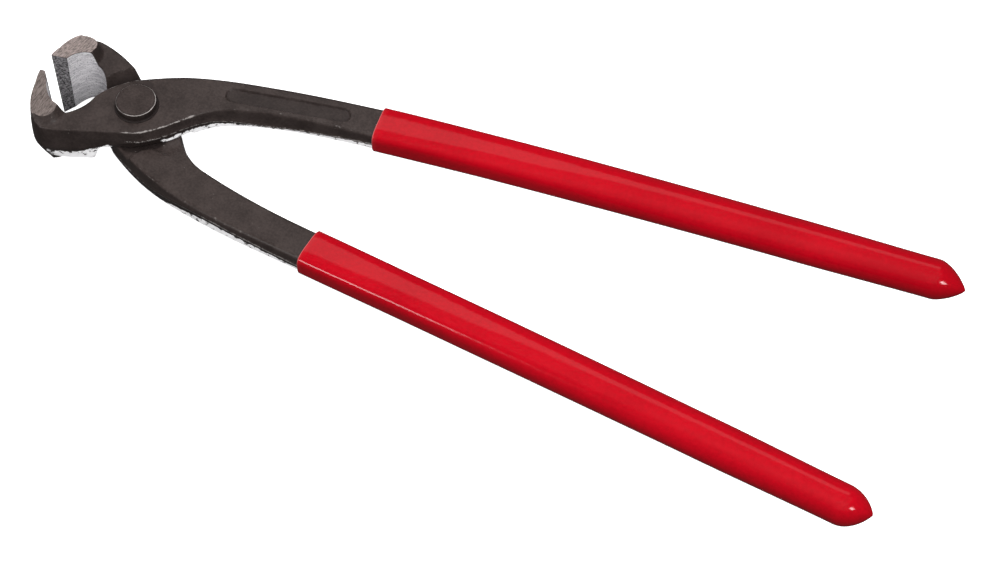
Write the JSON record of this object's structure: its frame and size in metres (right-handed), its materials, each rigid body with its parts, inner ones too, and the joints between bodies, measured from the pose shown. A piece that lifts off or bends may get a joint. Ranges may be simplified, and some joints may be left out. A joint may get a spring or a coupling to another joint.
{
  "type": "concreters nippers",
  "caption": "Concreters nippers with crossed forged levers on a rivet, end-cutting jaws round an oval mouth, and long red dipped grips.",
  "frame": {"origin": "under the middle of the tool's box, in the plane of the lower ends of the jaws", "axes": "+X from the jaws to the handle ends, +Y across towards the front lever's handle, +Z along the rivet"},
  "size_m": [0.2778, 0.094, 0.0259],
  "materials": {
    "lever_steel": "black oxidised forging, satin, with ground jaws",
    "rivet_steel": "black oxidised, satin",
    "grip_plastic": "glossy dipped plastic"
  },
  "bodies": {
    "back": {"back_lever": "lever_steel", "back_grip": "grip_plastic", "pivot_rivet": "rivet_steel"},
    "front": {"front_lever": "lever_steel", "front_grip": "grip_plastic"}
  },
  "joints": [
    {"name": "pivot", "type": "hinge", "parent": "back", "child": "front", "pos_m": [-0.10877, 0, 0.01297], "axis": [0, 0, 1], "range_deg": [-11, 16]}
  ]
}
